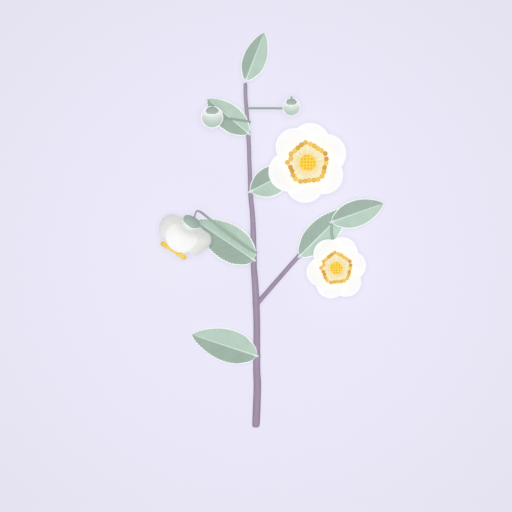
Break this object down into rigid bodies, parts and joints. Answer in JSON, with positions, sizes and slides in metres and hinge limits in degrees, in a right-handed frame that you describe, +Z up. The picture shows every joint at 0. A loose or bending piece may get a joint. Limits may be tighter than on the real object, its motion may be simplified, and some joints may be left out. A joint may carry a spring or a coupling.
{
  "type": "flowering tea sprig",
  "caption": "Cut sprig of flowering tea lying flat: woody stem with a side branch, toothed leaves, open white flowers with golden stamens, a nodding flower and round buds.",
  "frame": {"origin": "centre of the bounding box in plan, on the surface that the sprig lies on", "axes": "+Y runs along the stem from its cut end to the top leaf, +Z is up from the surface, +X is to the right when the sprig is seen from above with its tip pointing away"},
  "size_m": [0.1167, 0.2052, 0.0254],
  "materials": {
    "bark": "matte",
    "leaf_blade": "satin",
    "green_stalk": "satin",
    "petal": "matte",
    "bud_petal": "matte",
    "stamen": "matte"
  },
  "bodies": {
    "root": {"stem": "bark", "branch_shoot": "green_stalk", "leaf_top": "leaf_blade", "leaf_upper_left": "leaf_blade", "leaf_upper_right": "leaf_blade", "leaf_middle_left": "leaf_blade", "leaf_lower_left": "leaf_blade", "leaf_branch_lower": "leaf_blade", "leaf_branch_tip": "leaf_blade", "flower_a_calyx": "green_stalk", "flower_b_calyx": "green_stalk", "flower_c_calyx": "green_stalk", "bud_left_calyx": "green_stalk", "bud_right_calyx": "green_stalk", "flower_a_petals": "petal", "flower_b_petals": "petal", "flower_c_petals": "petal", "bud_left_petals": "bud_petal", "bud_right_petals": "bud_petal", "flower_a_stamens": "stamen", "flower_b_stamens": "stamen", "flower_c_stamens": "stamen"}
  },
  "joints": []
}
